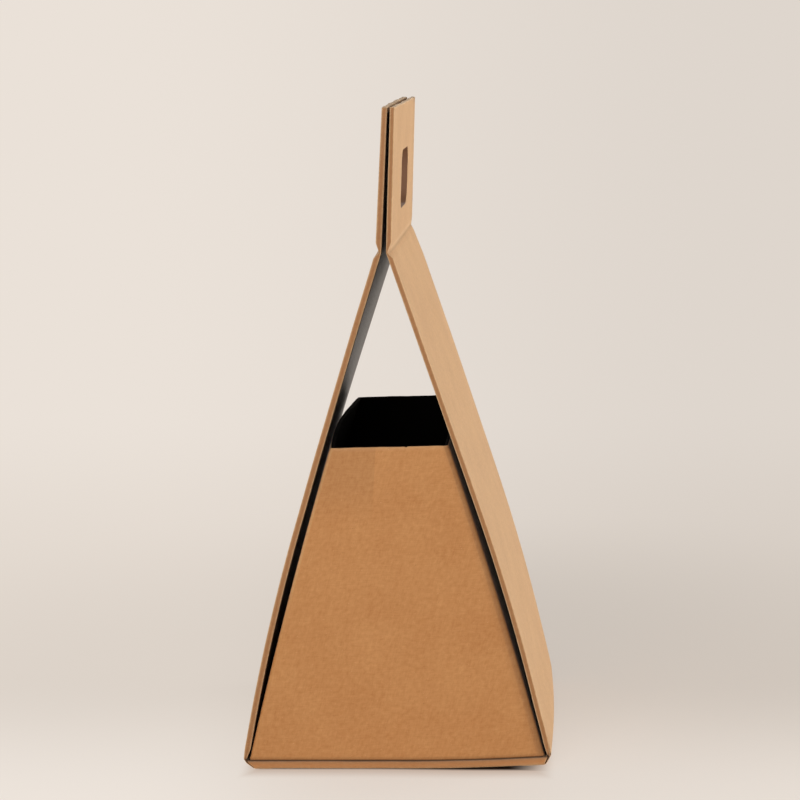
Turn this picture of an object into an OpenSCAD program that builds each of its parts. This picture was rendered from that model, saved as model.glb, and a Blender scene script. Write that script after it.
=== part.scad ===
// Upright gift box with a handle: a folded cover of wrapped board that stands up
// like a tent over an open tray. Its two flaps hinge on the long edges of a base
// panel, lean together, and end in two handle panels that meet back to back.
// Origin at the middle of the underside, +X to the right flap, +Y to the back, +Z up.

/* [Box] */
// Width across the outer corners at the bottom
box_w = 150; // [130:1:180]
// Depth from the front edge to the back edge
box_d = 155; // [120:1:200]
// Height of the creases between the flaps' walls and their handle panels
crease_h = 253.4; // [230:0.2:280]

/* [Board] */
// Thickness of the flaps' wrapped board
board_t = 2.4; // [1.6:0.1:3]
// Thickness of the base panel
base_t = 4; // [3:0.1:5]
// Thickness of the black lining paper
lining_t = 0.2; // [0.15:0.05:0.25]
// Width of the kraft margin left bare around the lining
lining_margin = 3; // [1:0.5:6]

/* [Flap walls] */
// Angle through which each wall bows outward, in degrees
bow_turn = 7; // [3:0.5:12]
// Share of the wall's length, from the bottom, that is bowed
bow_share = 0.5; // [0.3:0.01:0.6]

/* [Handle] */
// Height of the handle panels above the creases
handle_h = 68; // [55:1:80]
// Space between the handle panels at the creases
crease_gap = 2.3; // [2:0.1:3.5]
// Space between the handle panels at the top
top_gap = 0.75; // [0.7:0.05:1.5]
// Lean of the standing handle towards the right, in degrees
handle_lean = 3.3; // [0:0.1:5]
// Distance of the handle's foot to the right of the middle
handle_shift = -0.5; // [-2:0.1:2]
// Depth of the groove pressed into the outside of each crease
groove_depth = 0.8; // [0.2:0.1:1.2]
// Width of that groove
groove_w = 5; // [3:0.5:8]

/* [Hand slot] */
// Length of the slot along the handle
slot_l = 48; // [36:1:70]
// Height of the slot
slot_h = 29; // [22:1:36]
// Radius of the slot's corners
slot_r = 8; // [3:0.5:10]
// Height of the slot's lower edge above the crease
slot_rise = 16; // [10:0.5:22]

/* [Base folds] */
// Width of the slanted fold face at each end of the base panel
bevel_w = 5.2; // [3:0.1:8]
// Radius of the round foot on which each flap turns
foot_r = 0.9; // [0.6:0.05:1.1]
// Height over which each wall thins towards its foot
taper_h = 8; // [4:0.5:12]
// Running gap between the flaps' feet and the base panel
fold_gap = 0.35; // [0.3:0.05:0.6]
// Height by which the base panel curls up at its right end
curl_rise = 2; // [0.5:0.1:4]
// Length over which it curls
curl_l = 42; // [20:1:60]

/* [Tray] */
// Height of the tray above the base panel
tray_h = 156; // [120:1:180]
// Thickness of the tray's card
tray_t = 1.8; // [1.2:0.1:2.2]
// Space between the tray and the flaps' feet
tray_gap = 1.2; // [0.8:0.1:3]
// Space between the tray's mouth and the flaps
mouth_gap = 2.4; // [1:0.1:6]
// Outward bow of the tray's sloping walls halfway up
belly = 1.3; // [0:0.1:1.5]
// Distance of the tray's front and back behind the edges of the base panel
tray_inset = 0.5; // [0:0.1:3]
// Outer radius of the tray's folded corners
fold_r = 2.2; // [2.1:0.1:3]
// Width of the kraft edge above the tray's black lining
rim_margin = 1.5; // [0.5:0.5:6]

/* [Hidden] */

kraft = [0.76, 0.58, 0.40];
tray_kraft = [0.74, 0.53, 0.33];
black = [0.05, 0.05, 0.05];

// Sides of the flaps
left = -1;
right = 1;

// Steps in the polygons that stand for the walls' bow and the base panel's curl
bow_steps = 18;
curl_steps = 12;
// Steps in the tray's walls, and thickness of the slices that they are hulled from
tray_rows = 4;
seam = 0.01;
// Roundness of true cylinders and of the corners that are hulled
round_fn = 48;
corner_fn = 24;
// Overlap that lets cuts pass clean through
cut = 1;

// Place in the front view of a point given on a flap's own side
function sided(side, p) = [side * p[0], p[1]];
// Point that lies a distance from another in a direction leaning inward by an angle
function leaning(from, angle, distance) =
    from + distance * [-sin(angle), cos(angle)];
// Point offset inward from another, square to a direction that leans by an angle
function inward(from, angle, distance) =
    from - distance * [cos(angle), sin(angle)];

// Base panel's curl: an arc that starts flat and ends under the right fold
hinge_x = box_w / 2 - foot_r;
curl_x = hinge_x - curl_l;
curl_r = base_t + (curl_l * curl_l + curl_rise * curl_rise) / (2 * curl_rise);
// Points along the curl at a height above the underside, out to an x
function curl_points(level, x_end) =
    let (turn = asin((x_end - curl_x) / (curl_r - level)))
    [for (i = [0 : curl_steps])
        [curl_x + (curl_r - level) * sin(turn * i / curl_steps),
         curl_r - (curl_r - level) * cos(turn * i / curl_steps)]];

// Height of each hinge axis, on the centre of the flap's foot
function hinge_z(side) =
    base_t + (side == right ? curl_rise : 0) + fold_gap + foot_r;

// Angle of a handle panel from upright, positive towards the middle
function handle_angle(side) =
    atan((crease_gap - top_gap) / 2 / handle_h - side * tan(handle_lean));
// Outer corner of the crease
function crease_corner(side) =
    [crease_gap / 2 + side * handle_shift + board_t / cos(handle_angle(side)), crease_h];

// Shape of a bowed wall of length 1 whose foot points straight up
bow_r = bow_share / (bow_turn * PI / 180);
bow_end = [bow_r * (1 - cos(bow_turn)) + (1 - bow_share) * sin(bow_turn),
           bow_r * sin(bow_turn) + (1 - bow_share) * cos(bow_turn)];
// Outer corner of the foot, and the chord from it to the crease
function foot_corner(side) = [hinge_x + foot_r, hinge_z(side)];
function chord(side) = crease_corner(side) - foot_corner(side);
// Length of the wall, and its lean at the foot and above the bow
function wall_l(side) = norm(chord(side)) / norm(bow_end);
function foot_angle(side) =
    atan(-chord(side)[0] / chord(side)[1]) - atan(bow_end[0] / bow_end[1]);
function wall_angle(side) = foot_angle(side) + bow_turn;

// Point on the bow after a turn from the foot, offset inward from the outer face
function bow_point(side, turn, offset) =
    let (r = bow_r * wall_l(side), centre = inward(foot_corner(side), foot_angle(side), r))
    inward(centre, foot_angle(side) + turn, offset - r);
function bow_points(side, offset, first, last) =
    [for (i = [0 : bow_steps])
        bow_point(side, first + (last - first) * i / bow_steps, offset)];
// Turn along the bow at which the thinned stretch ends
function taper_turn(side) = taper_h / (bow_r * wall_l(side)) * 180 / PI;

// Corner of the crease at an offset inward from the outer face
function inner_crease(side, offset) =
    let (h = handle_angle(side), w = wall_angle(side))
    inward(crease_corner(side), (h + w) / 2, offset / cos((w - h) / 2));

// Distance from the middle to a wall's face at a height, at an offset from the outer face
function face_x(side, z, offset) =
    let (crease = inner_crease(side, offset),
         bow_top = bow_point(side, bow_turn, offset),
         r = bow_r * wall_l(side),
         centre = inward(foot_corner(side), foot_angle(side), r))
    z > bow_top[1]
        ? crease[0] + (crease[1] - z) * tan(wall_angle(side))
        : centre[0] + sqrt(pow(r - offset, 2) - pow(z - centre[1], 2));

// Front view of a flap, on its own side
function flap_outline(side) =
    let (h = handle_angle(side), w = wall_angle(side), top = crease_corner(side),
         fold = inner_crease(side, board_t), rise = handle_h / cos(h))
    concat(
        bow_points(side, 0, 0, bow_turn),
        [leaning(top, w, -groove_w / 2),
         inward(top, (h + w) / 2, groove_depth),
         leaning(top, h, groove_w / 2),
         leaning(top, h, rise),
         leaning(fold, h, rise),
         fold],
        bow_points(side, board_t, bow_turn, taper_turn(side)),
        [inward(foot_corner(side), foot_angle(side), 2 * foot_r)]);

// Front view of the lining on a flap's inner face
function lining_outline(side) =
    let (h = handle_angle(side), far = board_t + lining_t,
         rise = (handle_h - lining_margin) / cos(h))
    concat(
        bow_points(side, board_t, taper_turn(side), bow_turn),
        [inner_crease(side, board_t),
         leaning(inner_crease(side, board_t), h, rise),
         leaning(inner_crease(side, far), h, rise),
         inner_crease(side, far)],
        bow_points(side, far, bow_turn, taper_turn(side)));

// Upright extrusion of a front view, centred on the depth
module along_depth(depth) {
    rotate([90, 0, 0])
        linear_extrude(height = depth, center = true)
            children();
}

// Slot's outline: two crossed bars with round corners
module slot_outline() {
    square([slot_h, slot_l - 2 * slot_r], center = true);
    square([slot_h - 2 * slot_r, slot_l], center = true);
    for (x = [-1, 1], y = [-1, 1])
        translate([x * (slot_h / 2 - slot_r), y * (slot_l / 2 - slot_r)])
            circle(r = slot_r, $fn = round_fn);
}

// Slot's prism, laid square through a flap's handle panel
module slot_cut(side) {
    foot = sided(side, inner_crease(side, board_t));
    reach = board_t + lining_t + cut;
    translate([foot[0], 0, foot[1]])
        rotate([0, -side * handle_angle(side), 0])
            translate([side * board_t / 2, 0, slot_rise + slot_h / 2])
                rotate([0, 90, 0])
                    linear_extrude(height = 2 * reach, center = true)
                        slot_outline();
}

// Flap of the cover: wall and handle panel folded from one wrapped blank
module flap(side) {
    color(kraft)
        difference() {
            union() {
                along_depth(box_d)
                    polygon([for (p = flap_outline(side)) sided(side, p)]);
                translate([side * hinge_x, 0, hinge_z(side)])
                    rotate([90, 0, 0])
                        cylinder(r = foot_r, h = box_d, center = true, $fn = round_fn);
            }
            slot_cut(side);
        }
}

// Lining sheet on a flap, short of the edges all round
module flap_lining(side) {
    color(black)
        difference() {
            along_depth(box_d - 2 * lining_margin)
                polygon([for (p = lining_outline(side)) sided(side, p)]);
            slot_cut(side);
        }
}

// Base panel between the two folds, with slanted ends
module base_panel() {
    under = curl_points(0, box_w / 2 - bevel_w);
    over = curl_points(base_t, hinge_x);
    color(kraft)
        along_depth(box_d)
            polygon(concat([[-box_w / 2 + bevel_w, 0]], under,
                           [for (i = [curl_steps : -1 : 0]) over[i]],
                           [[-hinge_x, base_t]]));
}

// Tray's outer half width at its foot and at the corners of its mouth
foot_half = hinge_x - foot_r - tray_gap;
tray_top = base_t + tray_h;
rim_half = min([for (side = [left, right]) face_x(side, tray_top, board_t + lining_t)]);
// Horizontal share of a thickness on the tray's sloping walls
slope_share = norm([foot_half - rim_half + mouth_gap, tray_h]) / tray_h;

// Tray's outer half width at a share of its height
function tray_half(s) =
    foot_half + (rim_half - mouth_gap - foot_half) * s + belly * 4 * s * (1 - s);

// Space inside the tray's outer skin moved in by an inset, from below its foot to above its rim
module tray_space(inset) {
    corner = fold_r - inset;
    over = cut / tray_h;
    hull()
        for (s = concat(-over, [for (i = [0 : tray_rows]) i / tray_rows], 1 + over),
             x = [-1, 1], y = [-1, 1])
            translate([x * (tray_half(s) - inset * slope_share - corner),
                       y * (box_d / 2 - tray_inset - inset - corner), base_t + s * tray_h])
                cylinder(r = corner, h = seam, $fn = corner_fn);
}

// Upright region between a level above the underside, which follows the curl, and a height
module above_base(level, top) {
    along_depth(box_d + 2 * cut)
        polygon(concat([[-hinge_x, level]], curl_points(level, hinge_x),
                       [[hinge_x, top], [-hinge_x, top]]));
}

// Tray of kraft card, open at the top
module tray() {
    color(tray_kraft)
        difference() {
            intersection() {
                tray_space(0);
                above_base(base_t, tray_top);
            }
            intersection() {
                tray_space(tray_t);
                above_base(base_t + tray_t, tray_top + cut);
            }
        }
}

// Black lining on the tray's floor and walls
module tray_lining() {
    skin = tray_t + lining_t;
    color(black)
        difference() {
            intersection() {
                tray_space(tray_t);
                above_base(base_t + tray_t, tray_top - rim_margin);
            }
            intersection() {
                tray_space(skin);
                above_base(base_t + skin, tray_top);
            }
        }
}

base_panel();
flap(left);  // left_flap
flap_lining(left);  // left_lining
flap(right);  // right_flap
flap_lining(right);  // right_lining
tray();
tray_lining();
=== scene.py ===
"""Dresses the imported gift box: wrapped kraft board, black lining paper and a folded kraft tray.

Lengths in the classes are in millimetres, in the part's own frame: +X to the right flap, +Y from
the front to the back, +Z up.
"""
import logging
import math
from collections.abc import Callable
from dataclasses import dataclass, field
from enum import Enum

import bmesh
import bpy
import numpy as np
from mathutils import Matrix, Vector


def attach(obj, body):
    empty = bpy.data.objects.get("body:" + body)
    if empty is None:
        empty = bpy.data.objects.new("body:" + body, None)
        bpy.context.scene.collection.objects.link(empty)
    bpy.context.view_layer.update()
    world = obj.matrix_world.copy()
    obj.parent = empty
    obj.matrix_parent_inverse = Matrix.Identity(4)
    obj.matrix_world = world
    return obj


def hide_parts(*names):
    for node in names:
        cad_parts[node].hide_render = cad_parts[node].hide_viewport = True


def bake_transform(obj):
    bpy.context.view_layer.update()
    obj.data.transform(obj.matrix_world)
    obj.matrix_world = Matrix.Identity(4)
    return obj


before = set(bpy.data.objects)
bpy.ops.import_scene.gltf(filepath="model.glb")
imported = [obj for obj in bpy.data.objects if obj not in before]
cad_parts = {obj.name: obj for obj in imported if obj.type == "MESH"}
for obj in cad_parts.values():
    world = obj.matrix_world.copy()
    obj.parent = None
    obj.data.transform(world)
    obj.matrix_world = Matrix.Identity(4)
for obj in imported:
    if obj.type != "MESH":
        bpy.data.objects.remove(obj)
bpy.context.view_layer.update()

LOG = logging.getLogger("gift_box")
MM = 0.001
Triple = tuple[float, float, float]
Span = tuple[float, float]


class Side(Enum):
    """The two sides of the box, as the sign of their X."""

    LEFT = -1
    RIGHT = 1


FOOT_Z = {Side.LEFT: 5.25, Side.RIGHT: 7.25}
SWELL = {Side.LEFT: 0.4, Side.RIGHT: 0.15}
SLOT_LIP = {Side.LEFT: 0.0, Side.RIGHT: 0.9}
SPLAY, SPLAY_SHIFT, SPLAY_WAVE = 1.7, 5.0, 175.0
RIPPLES = ((1.0, 1.0, 1.0), (0.6, 2.3, 1.7), (0.35, 5.1, 2.9))
EDGE_FADE = 0.75


def smooth(low: float, high: float, value: np.ndarray) -> np.ndarray:
    """Eased step.

    Args:
        low: Value at which the step starts.
        high: Value at which it ends.
        value: Values to ease.

    Returns:
        Numbers from 0 at low to 1 at high.
    """
    share = np.clip((np.asarray(value, float) - low) / (high - low), 0.0, 1.0)
    return share * share * (3.0 - 2.0 * share)


def ripple(place: np.ndarray, wavelength: float, seed: float) -> np.ndarray:
    """Slow unevenness along a line, such as a hand-turned paper edge.

    Args:
        place: Distance along the line.
        wavelength: Length of the slowest wave.
        seed: Shift that makes one line unlike another.

    Returns:
        Numbers that stay within about 1 of zero.
    """
    turn = 2.0 * math.pi * np.asarray(place, float) / wavelength
    waves = sum(height * np.sin(pace * turn + shift * seed) for height, pace, shift in RIPPLES)
    return waves / sum(height for height, _, _ in RIPPLES)


def splay(across: np.ndarray) -> np.ndarray:
    """How far the right fold bows out at each place along the depth."""
    return SPLAY * np.cos(np.pi * (np.asarray(across, float) + SPLAY_SHIFT) / SPLAY_WAVE)


def quarter_turn(steps: int) -> np.ndarray:
    """Angles from 0 to a right angle in equal steps."""
    return np.linspace(0.0, math.pi / 2.0, steps + 1)


def worn_edge(share: np.ndarray) -> np.ndarray:
    """Share of fold wear at each share of the way round an edge, most at its middle."""
    return 1.0 - EDGE_FADE * np.abs(2.0 * np.asarray(share, float) - 1.0)


def nowhere(along: np.ndarray, *_: np.ndarray) -> np.ndarray:
    """Zero at every place, for a board without that effect."""
    return np.zeros_like(along)


def put(name: str, data: bpy.types.ID) -> bpy.types.Object:
    """Adds an object to the scene.

    Args:
        name: Name of the object.
        data: Its mesh, lamp or camera.

    Returns:
        The linked object.
    """
    made = bpy.data.objects.new(name, data)
    bpy.context.scene.collection.objects.link(made)
    return made


# Geometry of the folded pieces


@dataclass(frozen=True)
class Crease:
    """V groove pressed into the outside of a flap, deepest where its front edge is pinched."""

    depth: float = 0.45
    pinch: float = 1.5
    fade: float = 7.0
    above: float = 4.6
    below: float = 3.2
    power: float = 1.15

    def sink(self, distance: np.ndarray, from_front: np.ndarray) -> np.ndarray:
        """Depth of the groove.

        Args:
            distance: Distance above the crease, negative below it.
            from_front: Distance behind the flap's front edge.

        Returns:
            How far the outer face is pressed in there.
        """
        reach = np.where(distance > 0.0, self.above, self.below)
        shape = np.clip(1.0 - np.abs(distance) / reach, 0.0, 1.0) ** self.power
        return (self.depth + self.pinch * np.exp(-from_front / self.fade)) * shape


@dataclass(frozen=True)
class FlapLine:
    """Outer line of one flap in the front view, from its foot over the crease to its top."""

    side: Side
    foot_x: float = 75.0
    crease_z: float = 253.4
    board: float = 2.4
    bow_turn: float = math.radians(7.0)
    bow_share: float = 0.5
    handle_h: float = 68.0
    crease_gap: float = 2.3
    top_gap: float = 0.75
    pressed: float = 0.25
    lean: float = math.radians(3.3)
    shift: float = -0.5
    fold_ease: float = 2.2

    @property
    def foot_z(self) -> float:
        """Height of the fold at the flap's foot, where the base panel's end has curled up to."""
        return FOOT_Z[self.side]

    @property
    def handle_angle(self) -> float:
        """Lean of the handle panel towards the middle."""
        taper = (self.crease_gap - self.top_gap) / 2.0 / self.handle_h
        return math.atan(taper - self.side.value * math.tan(self.lean))

    @property
    def handle_l(self) -> float:
        """Length of the handle panel above the crease."""
        return self.handle_h / math.cos(self.handle_angle)

    @property
    def crease_x(self) -> float:
        """Distance of the crease's outer corner from the middle."""
        return (self.crease_gap / 2.0 + self.side.value * self.shift
                + self.board / math.cos(self.handle_angle))

    @property
    def _bow(self) -> tuple[float, float, float]:
        """Bow in a wall of length 1 whose foot points straight up.

        Returns:
            Its radius, and how far across and up the wall's end lies.
        """
        radius = self.bow_share / self.bow_turn
        straight = 1.0 - self.bow_share
        across = radius * (1.0 - math.cos(self.bow_turn)) + straight * math.sin(self.bow_turn)
        up = radius * math.sin(self.bow_turn) + straight * math.cos(self.bow_turn)
        return radius, across, up

    @property
    def wall_l(self) -> float:
        """Length of the wall.

        Returns:
            Distance along the wall from its foot to the crease.
        """
        _, across, up = self._bow
        return (math.hypot(self.crease_x - self.foot_x, self.crease_z - self.foot_z)
                / math.hypot(across, up))

    @property
    def foot_angle(self) -> float:
        """Inward lean of the wall at its foot.

        Returns:
            Angle from upright, in radians.
        """
        _, across, up = self._bow
        chord = math.atan2(self.foot_x - self.crease_x, self.crease_z - self.foot_z)
        return chord - math.atan2(across, up)

    @property
    def top(self) -> float:
        """Distance along the line from the foot to the top of the handle."""
        return self.wall_l + self.handle_l

    def at(self, along: np.ndarray) -> tuple[np.ndarray, np.ndarray, np.ndarray]:
        """Point on the line.

        Args:
            along: Distances from the foot, negative below it.

        Returns:
            Distance from the middle, height, and inward lean at each place.
        """
        along = np.asarray(along, float)
        radius = self._bow[0] * self.wall_l
        bowed = self.bow_share * self.wall_l
        turn = np.clip(along, 0.0, bowed) / radius
        lean = self.foot_angle + turn
        x = self.foot_x - radius * (math.cos(self.foot_angle) - np.cos(lean))
        z = self.foot_z + radius * (np.sin(lean) - math.sin(self.foot_angle))
        for stretch, angle in ((np.minimum(along, 0.0), self.foot_angle),
                               (np.clip(along - bowed, 0.0, self.wall_l - bowed),
                                self.foot_angle + self.bow_turn),
                               (np.maximum(along - self.wall_l, 0.0), self.handle_angle)):
            x = x - stretch * math.sin(angle)
            z = z + stretch * math.cos(angle)
        eased = smooth(-self.fold_ease, self.fold_ease, along - self.wall_l)
        lean = lean * (1.0 - eased) + self.handle_angle * eased
        return x, z, lean


@dataclass(frozen=True)
class Slot:
    """Hand slot with round corners, in the plane of a handle panel."""

    length: float = 48.0
    height: float = 29.0
    corner: float = 8.0
    rise: float = 16.0
    patch: float = 6.0

    def outline(self, direction: np.ndarray, margin: float) -> np.ndarray:
        """Contour of the slot.

        Args:
            direction: Directions from the slot's centre, one per row, up and along.
            margin: Distance of the contour outside the slot's edge.

        Returns:
            Points of the contour in those directions.
        """
        unit = direction / np.linalg.norm(direction, axis=1)[:, None]
        half = np.array([self.height, self.length]) / 2.0 - self.corner
        low, high = np.zeros(len(unit)), np.full(len(unit), self.length + self.height)
        for _ in range(50):
            middle = (low + high) / 2.0
            beyond = np.abs(unit * middle[:, None]) - half
            outside = (np.linalg.norm(np.maximum(beyond, 0.0), axis=1)
                       + np.minimum(beyond.max(axis=1), 0.0) - self.corner - margin) > 0.0
            high = np.where(outside, middle, high)
            low = np.where(outside, low, middle)
        return unit * low[:, None]


@dataclass
class SheetMesh:
    """Mesh of a piece, with each point's place on the flat paper, how much it is worn there and how
    much shade is painted there.
    """

    points: list[np.ndarray] = field(default_factory=list)
    sheet: list[np.ndarray] = field(default_factory=list)
    fold: list[np.ndarray] = field(default_factory=list)
    rim: list[np.ndarray] = field(default_factory=list)
    core: list[np.ndarray] = field(default_factory=list)
    painted_shade: list[np.ndarray] = field(default_factory=list)
    faces: list[tuple[int, ...]] = field(default_factory=list)
    count: int = 0

    def add(self, points: np.ndarray, sheet: np.ndarray, fold: np.ndarray | float,
            rim: np.ndarray | float, core: float = 0.0,
            painted_shade: np.ndarray | float = 0.0) -> np.ndarray:
        """Adds points.

        Args:
            points: Places in millimetres, one per row.
            sheet: Places on the flat paper in millimetres, two numbers per row.
            fold: Share of fold wear at each point.
            rim: Share of board edge at each point.
            core: Share of raw board, where a cut shows it.
            painted_shade: Share of painted shade, which darkens crevices, creases and shaded
                corners.

        Returns:
            The new points' numbers.
        """
        self.points.append(points)
        self.sheet.append(sheet)
        self.fold.append(np.broadcast_to(fold, (len(points),)))
        self.rim.append(np.broadcast_to(rim, (len(points),)))
        self.core.append(np.full(len(points), core))
        self.painted_shade.append(np.broadcast_to(painted_shade, (len(points),)))
        self.count += len(points)
        return np.arange(self.count - len(points), self.count)

    def quads(self, first: np.ndarray, second: np.ndarray, closed: bool) -> None:
        """Joins two rows of points with four-sided faces.

        Args:
            first: Numbers of one row's points.
            second: Numbers of the other row's points, as many.
            closed: Whether the rows are loops.
        """
        last = len(first) if closed else len(first) - 1
        for i in range(last):
            j = (i + 1) % len(first)
            self.face(first[i], first[j], second[j], second[i])

    def face(self, *corners: int) -> None:
        """Adds a face, leaving out a corner that is named twice."""
        self.faces.append(tuple(dict.fromkeys(int(corner) for corner in corners)))

    def fan(self, chain: list[int]) -> None:
        """Closes a chain of points with faces that join its two ends step by step.

        Args:
            chain: Numbers of the chain's points in order.
        """
        i, j = 0, len(chain) - 1
        while j - i > 1:
            self.face(chain[i], chain[j], chain[j - 1], chain[i + 1])
            i, j = i + 1, j - 1

    def build(self, name: str) -> bpy.types.Object:
        """Makes the object, with its faces turned outward.

        Args:
            name: Name of the piece.

        Returns:
            The linked object, with the attributes sheet, fold, rim, core and gloom, the last
            holding painted shade.
        """
        mesh = bpy.data.meshes.new(name)
        mesh.from_pydata((np.concatenate(self.points) * MM).tolist(), [], self.faces)
        shape = bmesh.new()
        shape.from_mesh(mesh)
        bmesh.ops.recalc_face_normals(shape, faces=shape.faces)
        shape.to_mesh(mesh)
        shape.free()
        sheet = np.concatenate(self.sheet)
        flat = np.column_stack([sheet, np.zeros(len(sheet))]).astype(np.float32)
        mesh.attributes.new("sheet", "FLOAT_VECTOR", "POINT").data.foreach_set(
            "vector", flat.ravel())
        for label, parts in (("fold", self.fold), ("rim", self.rim), ("core", self.core),
                             ("painted_shade", self.painted_shade)):
            values = np.concatenate(parts).astype(np.float32)
            mesh.attributes.new(label, "FLOAT", "POINT").data.foreach_set("value", values)
        mesh.polygons.foreach_set("use_smooth", [True] * len(mesh.polygons))
        mesh.update()
        return put(name, mesh)


Place = Callable[[np.ndarray, np.ndarray, np.ndarray], np.ndarray]


@dataclass
class Slab:
    """Board with round edges, bent to shape by a function of its length, depth and thickness.

    The outer face has thickness 0. Rows run along the length and columns along the depth.
    """

    rows: np.ndarray
    columns: np.ndarray
    half: float
    thick: Callable[[np.ndarray], np.ndarray]
    radius: float
    place: Place
    base: Callable[[np.ndarray], np.ndarray] = nowhere
    steps: int = 4
    slot: Slot | None = None
    slot_centre: float = 0.0
    slot_margin: float = 0.0
    slot_lip: float = 0.0
    slot_edge_r: float = 0.15
    slot_deep: float = 1.6
    slot_rings: tuple[tuple[float, float], ...] = ((0.35, 0.0), (0.7, 0.0), (0.85, 0.7), (1.0, 1.0))
    inner_sheet: float = 200.0
    rim_from: float = 0.25
    rim_to: float = 0.8
    ridge_wear: float = 0.1
    end_wear: float = 0.2
    # Painted shade at each place of the board.
    painted_shade: Place = nowhere
    wear: Place = nowhere

    def _section(self, inset: float, thick: float) -> tuple[np.ndarray, ...]:
        """Loop round the board at one row.

        Args:
            inset: How far the loop lies inside the board's full section.
            thick: Thickness there.

        Returns:
            Depth, thickness, distance round the loop, and share of fold and of board edge.
        """
        radius = max(self.radius - inset, 1e-4)
        turns = quarter_turn(self.steps)[1:]
        edge_v = self.half - self.radius + radius * np.sin(turns)
        edge_t = inset + radius * (1.0 - np.cos(turns))
        side_v = np.concatenate([edge_v, [edge_v[-1]], edge_v[::-1]])
        side_t = np.concatenate([edge_t, [0.5 * thick], (thick - edge_t)[::-1]])
        arc = np.concatenate([turns / turns[-1], [1.0], turns[::-1] / turns[-1]])
        fold = worn_edge(arc)
        fold[len(turns)] = self.ridge_wear
        rim = smooth(self.rim_from, self.rim_to, arc)
        v = np.concatenate([self.columns, side_v, self.columns[::-1], -side_v])
        t = np.concatenate([np.full(len(self.columns), inset), side_t,
                            np.full(len(self.columns), thick - inset), side_t[::-1]])
        flat = np.zeros(len(self.columns))
        folds = np.concatenate([flat, fold, flat, fold])
        rims = np.concatenate([flat, rim, flat, rim])
        around = np.concatenate([[0.0], np.cumsum(np.hypot(np.diff(v), np.diff(t)))])
        return v, t, around + v[0], folds, rims

    def _row(self, mesh: SheetMesh, along: float, inset: float, extra: float,
             worn: float) -> np.ndarray:
        """Adds one loop to the mesh.

        Args:
            mesh: Mesh to add to.
            along: Place of the row along the board.
            inset: How far the loop lies inside the board's full section.
            extra: How much further on the flat paper the row lies.
            worn: Least share of fold wear.

        Returns:
            The new points' numbers.
        """
        row = np.array([along])
        thick = float(self.thick(row)[0])
        v, t, around, fold, rim = self._section(inset, thick)
        u = np.full(len(v), along)
        points = self.place(u, v, t + float(self.base(row)[0]))
        fold = np.maximum(np.maximum(fold, worn), self.wear(u, v, t))
        return mesh.add(points, np.column_stack([u + extra, around]), fold, rim,
                        painted_shade=self.painted_shade(u, v, t))

    def _grid(self) -> list[tuple[float, float, float, float]]:
        """Rows of the board, with round rows added at both ends.

        Returns:
            For each row its place, inset, extra length of paper and share of fold wear.
        """
        turns = quarter_turn(self.steps)[1:]
        start, end = float(self.rows[0]), float(self.rows[-1])
        before, after = (
            [(tip + inward * self.radius * (1.0 - math.sin(a)), self.radius * (1.0 - math.cos(a)),
              -inward * self.radius * (a - math.sin(a)), float(worn_edge(a / turns[-1])))
             for a in turns] for tip, inward in ((start, 1.0), (end, -1.0)))
        inner = [(float(u), 0.0, 0.0, 0.0) for u in self.rows
                 if start + self.radius <= u <= end - self.radius]
        return [*before[::-1], (start + self.radius, 0.0, 0.0, self.end_wear), *inner,
                (end - self.radius, 0.0, 0.0, self.end_wear), *after]

    def mesh(self) -> SheetMesh:
        """Builds the slab's mesh.

        Returns:
            The closed mesh, with the slot cut through it where there is one.
        """
        made = SheetMesh()
        grid = self._grid()
        loops = [self._row(made, *row) for row in grid]
        width = len(self.columns)
        around = len(loops[0])
        other = around // 2
        hole = self._patch(grid)
        open_faces = set()
        if hole:
            first, last, left, right = hole
            for i in range(first, last):
                open_faces |= {(i, j) for j in range(left, right)}
                open_faces |= {(i, other + width - 2 - j) for j in range(left, right)}
        for i in range(len(loops) - 1):
            for j in range(around):
                if (i, j) not in open_faces:
                    k = (j + 1) % around
                    made.face(loops[i][j], loops[i][k], loops[i + 1][k], loops[i + 1][j])
        for loop in (loops[0], loops[-1]):
            self._cap(made, loop, width)
        if hole:
            self._ring(made, loops, grid, hole, width, other)
        return made

    def _cap(self, made: SheetMesh, loop: np.ndarray, width: int) -> None:
        """Closes an end of the slab, with faces from its outer to its inner side.

        Args:
            made: Mesh to add to.
            loop: Numbers of the end loop's points.
            width: Number of columns.
        """
        side = 2 * self.steps + 1
        outer = loop[:width]
        inner = loop[width + side:2 * width + side][::-1]
        made.quads(outer, inner, False)
        made.fan([outer[-1], *loop[width:width + side], inner[-1]])
        made.fan([inner[0], *loop[2 * width + side:], outer[0]])

    def _patch(self, grid: list[tuple[float, float, float, float]]) -> tuple[int, ...] | None:
        """Finds the patch round the slot.

        Args:
            grid: The board's rows.

        Returns:
            First and last row and column that bound it, or nothing where there is no slot.
        """
        if self.slot is None:
            return None
        along = np.array([row[0] for row in grid])
        reach_u = self.slot.height / 2.0 + self.slot.patch
        reach_v = self.slot.length / 2.0 + self.slot.patch
        first = int(np.argmin(np.abs(along - (self.slot_centre - reach_u))))
        last = int(np.argmin(np.abs(along - (self.slot_centre + reach_u))))
        left = int(np.argmin(np.abs(self.columns + reach_v)))
        right = int(np.argmin(np.abs(self.columns - reach_v)))
        return first, last, left, right

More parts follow.
